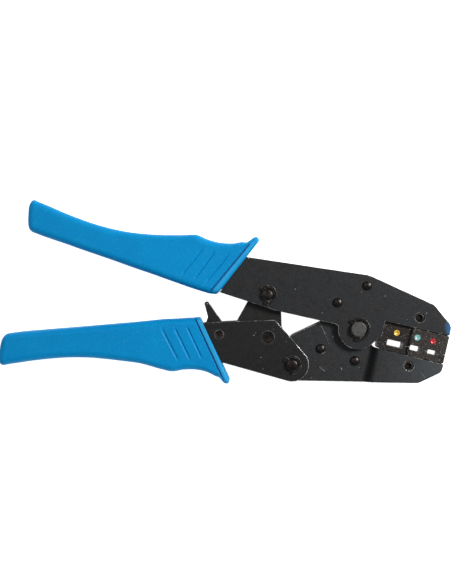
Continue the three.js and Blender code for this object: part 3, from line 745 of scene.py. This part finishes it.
def headed_pin(node, r, head_r, crown, material, slot, punch=0.0):
    """A pin with a flat head at the back, a clip's groove, and a flat or crowned end."""
    at = axis_of(node)
    bottom, top = heights(node)
    clip_low, clip_high = heights(f"{node}_clip")
    groove_low, groove_high = clip_low - GROOVE_PLAY, clip_high + GROOVE_PLAY
    head_top = -PLATE_OUT - HEAD_GAP
    profile = [(TIP_R, bottom), (head_r - 0.35, bottom), (head_r - 0.1, bottom + 0.1),
               (head_r, bottom + 0.35), (head_r, head_top - 0.15), (head_r - 0.15, head_top),
               (r, head_top), (r, groove_low), (r - GROOVE_DEPTH, groove_low),
               (r - GROOVE_DEPTH, groove_high), (r, groove_high)]
    edge = min(0.25, crown)
    profile += [(r, top - crown), (r - edge * 0.3, top - crown + edge * 0.7)]
    steps = 7
    for i in range(1, steps):
        turn = math.pi / 2 * i / steps
        profile.append(((r - edge) * math.cos(turn),
                        top - (crown - edge) * (1 - math.sin(turn))))
    if punch:
        profile += [(punch * 1.6, top), (punch, top - 0.1), (punch * 0.4, top - 0.35)]
    profile.append((TIP_R, profile[-1][1]))
    piece = turned(f"{node}_finished", at, profile, material)
    # A flat end gets a ring of painted highlight at its rim.
    if crown < 0.5:
        paint_highlight_rings(piece, at, groove_high, r - 0.3, r)
    smooth(piece)
    show(piece, frame["nodes"][node]["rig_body"], slot, node)


def e_clip(node, at, ring_in, ring_out, lug_r, opening):
    """A ring open on one side, with three lugs that reach into the pin's groove."""
    gap, lug = 56, 13
    start, end, centre = opening + gap, opening + 360 - gap, opening + 180
    throat = lug + 5
    inside = arc(at, lug_r, start, start + 2 * lug) \
        + arc(at, ring_in, start + lug + throat, centre - throat) \
        + arc(at, lug_r, centre - lug, centre + lug) \
        + arc(at, ring_in, centre + throat, end - lug - throat) \
        + arc(at, lug_r, end - 2 * lug, end)
    outline = arc(at, ring_out, start, end) + inside[::-1]
    piece = slab(f"{node}_finished", outline, *heights(node), "pin", "pin_edge")
    # The rounded edges take the pin-edge finish, a painted highlight.
    round_edges(piece, CLIP_EDGE, 3, material=1)
    smooth(piece)
    show(piece, frame["nodes"][node]["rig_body"], "pin_steel", node)


headed_pin("main_pin", 3.8, 5.6, 0.3, "bright", "bright_steel")
headed_pin("link_pin", 3.0, 4.5, 0.9, "pin", "pin_steel", punch=0.35)
headed_pin("handle_pin", 3.0, 4.5, 0.9, "pin", "pin_steel")
e_clip("main_pin_clip", MAIN, 4.7, 6.0, 3.2, CLIP_OPENING)
e_clip("link_pin_clip", LINK, 3.8, 4.9, 2.4, CLIP_OPENING)
e_clip("handle_pin_clip", HANDLE, 3.7, 4.7, 2.4, CLIP_OPENING + 15)

for number in (1, 2):
    domed_rivet(f"frame_rivet_{number}", "frame", PLATE_OUT)
    domed_rivet(f"jaw_rivet_{number}", "jaw", TAIL_OUT)
    flush_rivet(f"frame_tang_rivet_{number}", "frame", SHANK_R, SHANK_R)
    flush_rivet(f"handle_tang_rivet_{number}", "handle", SHANK_R, SHANK_R)
flush_rivet("toggle_pin", "handle", 2.85, 3.5, flare=0.4, dish=0.2)
flush_rivet("pawl_pin", "handle", 1.9, 2.2, flare=0.3, dish=0.3)
flush_rivet("spring_anchor", "handle", 1.3, 1.3)
flush_rivet("pawl_spring_anchor", "handle", 1.1, 1.1)

hook_top = heights("hook_pin")[1]
hook_profile = [(HOOK_R, 0.0), (HOOK_R, hook_top - 0.15), (HOOK_R - 0.15, hook_top), (TIP_R, hook_top)]
hook_pin = turned("hook_pin_finished", HOOK, mirrored(hook_profile), "pin", sides=32)
smooth(hook_pin)
show(hook_pin, "link", "pin_steel", "hook_pin")


SCREW_R = 1.9
SCREW_HEAD_R = 2.3
SCREW_HEAD_FOOT = 4.4
SOCKET_R = 1.3
SOCKET_DEPTH = 1.4


def die_screw(node, body):
    """A socket screw sunk below the plate's face."""
    at = axis_of(node)
    bottom, top = heights(node)
    r, head_r, head_low = SCREW_R, SCREW_HEAD_R, SCREW_HEAD_FOOT
    profile = [(TIP_R, bottom), (r - 0.2, bottom), (r, bottom + 0.2), (r, head_low),
               (head_r, head_low), (head_r, top - 0.35), (head_r - 0.15, top - 0.1),
               (head_r - 0.35, top), (TIP_R, top)]
    piece = turned(f"{node}_finished", at, profile, "pin")
    # A ring of painted highlight on the head's chamfer.
    paint_highlight_rings(piece, at, head_low, head_r - 0.35, head_r)
    hollow = [(SOCKET_R, top - SOCKET_DEPTH), (SOCKET_R, top - 0.2), (SOCKET_R + 0.35, top + 0.15)]
    socket = turned("cutter", at, hollow, "pin", sides=6)
    cut(piece, socket)
    smooth(piece)
    show(piece, body, "pin_steel", node)


die_screw("upper_die_screw", "frame")
die_screw("lower_die_screw", "jaw")

# ------------------------------------------------------------------ dies and colour dots

COLOURS = ("yellow", "blue", "red")
DOT_R = 1.5
DOT_RIM = 0.2
DOT_HOLLOW = 0.45


def across_die(vert):
    """How far a vertex lies across the die's axis."""
    return vert.co.xy.dot(DIE_ACROSS) / MM


def is_die_edge(edge):
    """A sharp edge, but not on the parting line or round a colour dot's seat."""
    if len(edge.link_faces) != 2 or edge.calc_face_angle() < DIE_TURN:
        return False
    spot = (edge.verts[0].co + edge.verts[1].co).xy / 2 / MM
    by_dot = any((spot - axis_of(f"dot_{colour}")).length < DOT_R + 0.5 for colour in COLOURS)
    return not by_dot and any(abs(across_die(v) - PARTING) > 0.12 for v in edge.verts)


def die(node, body):
    """A ground die block with softened outer edges and nest mouths."""
    piece = own_shape(node, f"{node}_finished", "die", "die_edge")
    # The bevels take the die's edge finish: wear with painted highlight, and painted reflection of the
    # floor in the nest mouths.
    bevel_edges(piece, is_die_edge, DIE_EDGE, 2, material=1)
    smooth(piece)
    show(piece, body, "die_steel", node)


die("upper_die", "frame")
die("lower_die", "jaw")


def colour_dot(node, material):
    """Enamel that has settled into a dimple, hollow in the middle."""
    foot, face = heights(node)
    bowl_r = DOT_R - DOT_RIM
    profile = [(TIP_R, foot), (DOT_R, foot), (DOT_R, face - 0.05), (DOT_R - 0.06, face),
               (bowl_r, face - 0.02)]
    steps = 8
    for i in range(1, steps):
        share = 1 - i / steps
        profile.append((bowl_r * share, face - DOT_HOLLOW * (1 - share ** 2)))
    profile.append((TIP_R, face - DOT_HOLLOW))
    piece = turned(f"{node}_finished", axis_of(node), profile, material, sides=40)
    smooth(piece, ROUND_TURN)
    show(piece, "frame", f"enamel_{material}", node)


for colour in COLOURS:
    colour_dot(f"dot_{colour}", colour)

# ------------------------------------------------------------------ springs

WIRE_PITCH = 2.15  # from turn to turn, in wire radii
COIL_SIDES = 14  # points to a turn
LEAD = 0.6  # straight wire between the coil and an eye


def tube(name, path, r, material, sides=8):
    """Round wire along a path of points."""
    bm = bmesh.new()
    rings = []
    side = Vector((0, 0, 1))
    for i, point in enumerate(path):
        run = (path[min(i + 1, len(path) - 1)] - path[max(i - 1, 0)]).normalized()
        side = (side - run * side.dot(run)).normalized()
        other = run.cross(side)
        turns = [2 * math.pi * k / sides for k in range(sides)]
        rings.append([bm.verts.new(point + (side * math.cos(t) + other * math.sin(t)) * r)
                      for t in turns])
    skin(bm, rings)
    piece = finish_piece(bm, name, material)
    smooth(piece, ROUND_TURN)
    return piece


def coil_spring(name, start, end, coil_r, wire_r, eyes, span):
    """A close-wound tension spring with an eye round each of its two pins.

    eyes are the radii of its two eyes; span is where the coil lies, from the start pin's axis."""
    run = Vector((*(end - start), 0))
    length = run.length
    ahead = run.normalized()
    aside = Vector((-ahead.y, ahead.x, 0))
    up = Vector((0, 0, 1))
    origin = Vector((*start, 0))

    def eye(at, away, r):
        turns = [math.radians(a) for a in range(20, 341, 20)]
        return [at + (ahead * away * math.cos(t) + aside * math.sin(t)) * r for t in turns]

    coil_from, coil_to = span
    count = round((coil_to - coil_from) / (WIRE_PITCH * wire_r))
    steps = COIL_SIDES * count
    coil = []
    for i in range(steps + 1):
        turn = 2 * math.pi * count * i / steps
        reach = coil_from + (coil_to - coil_from) * i / steps
        coil.append(origin + ahead * reach + (aside * math.sin(turn) + up * math.cos(turn)) * coil_r)
    lead = [origin + ahead * (coil_from - LEAD)]
    tail = [origin + ahead * (coil_to + LEAD)]
    path = eye(origin, 1, eyes[0])[::-1] + lead + coil + tail
    path += eye(origin + ahead * length, -1, eyes[1])
    return tube(name, path, wire_r, "spring")


# The hook's eye is wide: as the tool opens, its pin moves a little off the spring's axis.
opening_spring = coil_spring("opening_spring_finished", SPRING_ANCHOR, HOOK, coil_r=1.6,
                             wire_r=0.38, eyes=(1.75, 2.25), span=(3.4, 23.5))
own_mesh(opening_spring)
show(opening_spring, "handle", "spring_steel", "opening_spring")

pawl_spring = coil_spring("pawl_spring_finished", PAWL_ANCHOR, PAWL_HOOK, coil_r=1.15,
                          wire_r=0.28, eyes=(1.45, 1.45), span=(2.8, 10.8))
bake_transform(pawl_spring)
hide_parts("pawl_spring")

# ------------------------------------------------------------------ grips

# A grip's section: its corners' radius, and the points on a face, a side and a corner.
GRIP_CORNER = 3.2
FACE_POINTS = 22
SIDE_POINTS = 10
CORNER_STEPS = 6

# A grip's half thickness: at its first stations, along it and at its last station.
TAIL_HALVES = (7.0, 8.5, 9.3)
BODY_HALF = 9.5
GUARD_HALF = 8.6

# Stations, tail to guard: the x and y of the lower edge, then of the upper edge.
UPPER_GRIP = [
    (-165.3, 52.2, -164.9, 61.0),
    (-164.8, 50.2, -164.3, 63.2),
    (-163.4, 48.8, -162.7, 64.7),
    (-160.5, 47.6, -159.5, 63.6),
    (-146.5, 42.7, -145.2, 57.6),
    (-137.5, 39.5, -135.1, 53.8),
    (-129.0, 36.6, -125.0, 50.8),
    (-121.0, 33.8, -114.8, 48.7),
    (-113.5, 31.1, -104.7, 47.6),
    (-101.0, 26.8, -87.5, 47.2),
    (-96.3, 25.1, -80.9, 47.3),
    (-91.5, 23.4, -75.8, 45.2),
    (-85.3, 21.2, -69.2, 43.4),
    (-79.5, 19.3, -62.0, 43.1),
    (-76.1, 18.3, -57.6, 43.7),
    (-75.0, 17.95, -56.0, 43.5),
    (-74.1, 17.8, -53.9, 44.8),
    (-73.0, 17.7, -52.2, 46.0),
    (-71.0, 17.6, -50.2, 46.0),
    (-69.8, 18.4, -49.4, 44.4),
]
LOWER_GRIP = [
    (-180.2, -15.4, -178.9, -6.8),
    (-179.7, -17.0, -178.1, -4.4),
    (-178.2, -18.0, -176.4, -2.5),
    (-174.5, -17.5, -172.8, -1.8),
    (-160.4, -15.5, -158.5, -0.4),
    (-142.0, -14.2, -140.2, 1.1),
    (-133.0, -14.4, -132.0, 1.8),
    (-125.5, -15.1, -125.0, 2.4),
    (-117.0, -16.1, -118.0, 3.0),
    (-109.7, -17.1, -112.0, 3.5),
    (-98.5, -20.1, -103.0, 4.4),
    (-93.3, -21.2, -98.0, 4.9),
    (-87.0, -20.3, -93.5, 5.1),
    (-80.5, -20.4, -89.0, 5.3),
    (-75.5, -21.6, -85.8, 5.5),
    (-71.4, -23.6, -83.2, 5.6),
    (-69.6, -24.3, -82.2, 5.65),
    (-68.2, -25.9, -81.6, 5.75),
    (-66.7, -27.2, -80.6, 5.9),
    (-65.0, -27.1, -79.0, 5.6),
    (-64.3, -25.4, -78.4, 4.4),
]

# Grooves on both faces of a grip, from end to end.
UPPER_GROOVES = [
    ((-77.4, 40.5), (-88.2, 27.3)),
    ((-71.9, 38.7), (-81.9, 25.0)),
    ((-64.8, 37.3), (-76.2, 23.6)),
]
LOWER_GROOVES = [
    ((-98.3, 0.4), (-90.2, -15.2)),
    ((-91.8, 0.6), (-84.2, -15.0)),
    ((-85.7, 1.2), (-78.4, -14.4)),
]
GRIP_GROOVE_HALF = 0.75
GRIP_GROOVE_DEPTH = 0.5
GRIP_GROOVE_FADE = 1.2
RIM_LINE_DEPTH = 0.6

# Pockets for the plates' tangs, a little larger than the tangs.
UPPER_TANG = [(-68.1, 19.6), (-55.2, 36.4), (-84, 40.6), (-124.3, 46.7), (-124.3, 39.4),
              (-84, 24.5), (-70.3, 20.1)]
LOWER_TANG = [(-135.3, -2.3), (-135.3, -10.7), (-84, -14.9), (-66.4, -17.4), (-75.3, 3.7),
              (-76.7, 3.6), (-82.1, 2.1), (-95, 1.6)]
TANG_GAP = 0.3


# How far apart the worked-out stations stand: fine at the tail's rounding and by the guard.
COARSE_STEP = 1.6
FINE_STEP = 0.28


def fine_stations(stations, fine_from):
    """Stations close together on smooth curves through the given ones.

    Each is the given x and y values followed by the half thickness; fine_from is the x beyond
    which they stand close enough to hold the grooves."""
    tail = len(TAIL_HALVES)
    halves = [*TAIL_HALVES, *[BODY_HALF] * (len(stations) - tail - 1), GUARD_HALF]
    rows = [Vector((*station, half)) for station, half in zip(stations, halves)]
    spans = [(b - a).length for a, b in zip(rows, rows[1:])]
    slopes = [(b - a) / span for a, b, span in zip(rows, rows[1:], spans)]
    tangents = [slopes[0]]
    for i in range(1, len(rows) - 1):
        before, after = spans[i - 1], spans[i]
        tangents.append((slopes[i - 1] * after + slopes[i] * before) / (before + after))
    tangents.append(slopes[-1])
    made = [rows[0]]
    for i, span in enumerate(spans):
        step = FINE_STEP if rows[i][0] > fine_from or i < tail else COARSE_STEP
        count = max(2, round(span / step))
        for k in range(1, count + 1):
            t = k / count
            row = (rows[i] * (2 * t ** 3 - 3 * t ** 2 + 1)
                   + tangents[i] * span * (t ** 3 - 2 * t ** 2 + t)
                   + rows[i + 1] * (3 * t ** 2 - 2 * t ** 3)
                   + tangents[i + 1] * span * (t ** 3 - t ** 2))
            row[4] = min(row[4], GRIP_HALF)
            made.append(row)
    return made


def section(row):
    """A rounded rectangle standing on a station: pairs of a point and its outward normal."""
    low, high, half = Vector((row[0], row[1], 0)), Vector((row[2], row[3], 0)), row[4]
    width = (high - low).length
    along = (high - low) / width
    up = Vector((0, 0, 1))
    r = min(GRIP_CORNER, half * 0.9, width * 0.45)
    points = []

    def straight(count, place_at, normal):
        points.extend((place_at((i + 0.5) / count), normal) for i in range(count))

    def corner(s, z, start):
        for i in range(CORNER_STEPS + 1):
            a = math.radians(start + 90 * i / CORNER_STEPS)
            normal = along * math.cos(a) + up * math.sin(a)
            points.append((low + along * s + up * z + normal * r, normal))

    flat, tall = width - 2 * r, 2 * (half - r)
    corner(r, r - half, 180)
    straight(FACE_POINTS, lambda t: low + along * (r + flat * t) - up * half, -up)
    corner(width - r, r - half, 270)
    straight(SIDE_POINTS, lambda t: high + up * (r - half + tall * t), along)
    corner(width - r, half - r, 0)
    straight(FACE_POINTS, lambda t: high - along * (r + flat * t) + up * half, up)
    corner(r, half - r, 90)
    straight(SIDE_POINTS, lambda t: low + up * (half - r - tall * t), -along)
    return points


def line_depth(point, start, end, half, depth, fade=None):
    """How deep a line is at a point; fade is the length over which its ends run out, if any."""
    a, b = Vector(start), Vector(end)
    run = b - a
    length = run.length
    along = (point.xy - a).dot(run) / length
    aside = abs((point.xy - a).cross(run)) / length
    if aside >= half:
        return 0.0
    ends = 1.0 if fade is None else max(0.0, min(1.0, min(along, length - along) / fade))
    return depth * (1 - (aside / half) ** 2) ** 2 * ends


def grip(node, body, stations, fine_from, grooves, rim_line, tang):
    """A moulded grip with three short grooves on each face and a rim at its guard."""
    bm = bmesh.new()
    rings = []
    for row in fine_stations(stations, fine_from):
        ring = []
        for point, normal in section(row):
            depth = line_depth(point, *rim_line, RIM_LINE_HALF, RIM_LINE_DEPTH) * normal.z ** 2
            if abs(normal.z) > 0.99:
                depth += max(line_depth(point, *groove, GRIP_GROOVE_HALF, GRIP_GROOVE_DEPTH,
                                        GRIP_GROOVE_FADE) for groove in grooves)
            ring.append(bm.verts.new(point - normal * depth))
        rings.append(ring)
    skin(bm, rings)
    piece = finish_piece(bm, f"{node}_finished", "grip")
    pocket_half = PLATE_OUT + TANG_GAP
    pocket = slab("cutter", tang, -pocket_half, pocket_half, "grip")
    cut(piece, pocket)
    smooth(piece, GRIP_TURN)
    show(piece, body, "grip_plastic", node)


grip("upper_grip", "frame", UPPER_GRIP, -97, UPPER_GROOVES, UPPER_RIM_LINE, UPPER_TANG)
grip("lower_grip", "handle", LOWER_GRIP, -110, LOWER_GROOVES, LOWER_RIM_LINE, LOWER_TANG)

# ------------------------------------------------------------------ floor, light and camera

FLOOR_HALF = 1500
FLOOR_DROP = 0.2
SKY_COLOR = (0.95, 0.97, 1.0, 1)
SKY_STRENGTH = 0.21
CAMERA_AT = Vector((-66.15, 18.6, 536.7))
LENS = 64.1
SENSOR = 36

low, high = cad_box
centre = (low + high) / 2

bm = bmesh.new()
bmesh.ops.create_grid(bm, x_segments=2, y_segments=2, size=FLOOR_HALF * MM)
floor_data = bpy.data.meshes.new("floor")
bm.to_mesh(floor_data)
bm.free()
floor_data.transform(Matrix.Translation((centre.x, centre.y, low.z - FLOOR_DROP * MM)))
floor_data.materials.append(floor_white())
floor = bpy.data.objects.new("floor", floor_data)
bpy.context.scene.collection.objects.link(floor)


def soft_light(name, azimuth, elevation, distance, size, power):
    """A round lamp that looks at the object.

    Azimuth is from +X towards +Y, in degrees; the distance and the size are in metres."""
    a, e = math.radians(azimuth), math.radians(elevation)
    away = Vector((math.cos(a) * math.cos(e), math.sin(a) * math.cos(e), math.sin(e)))
    data = bpy.data.lights.new(name, "AREA")
    data.shape = "DISK"
    data.size = size
    data.energy = power
    lamp = bpy.data.objects.new(name, data)
    lamp.location = centre + away * distance
    lamp.rotation_mode = "QUATERNION"
    lamp.rotation_quaternion = away.to_track_quat("Z", "Y")
    bpy.context.scene.collection.objects.link(lamp)


soft_light("key", azimuth=24, elevation=42, distance=0.9, size=0.28, power=7.7)
soft_light("fill", azimuth=150, elevation=60, distance=1.2, size=0.9, power=1.9)

world = bpy.data.worlds.new("studio")
world.use_nodes = True
sky = world.node_tree.nodes["Background"]
sky.inputs["Color"].default_value = SKY_COLOR
sky.inputs["Strength"].default_value = SKY_STRENGTH
bpy.context.scene.world = world
bpy.context.scene.view_settings.view_transform = "Standard"

camera_data = bpy.data.cameras.new("camera")
camera_data.sensor_width = SENSOR
camera_data.lens = LENS
camera_data.clip_start = 0.01
camera = bpy.data.objects.new("camera", camera_data)
camera.location = CAMERA_AT * MM
bpy.context.scene.collection.objects.link(camera)
bpy.context.scene.camera = camera
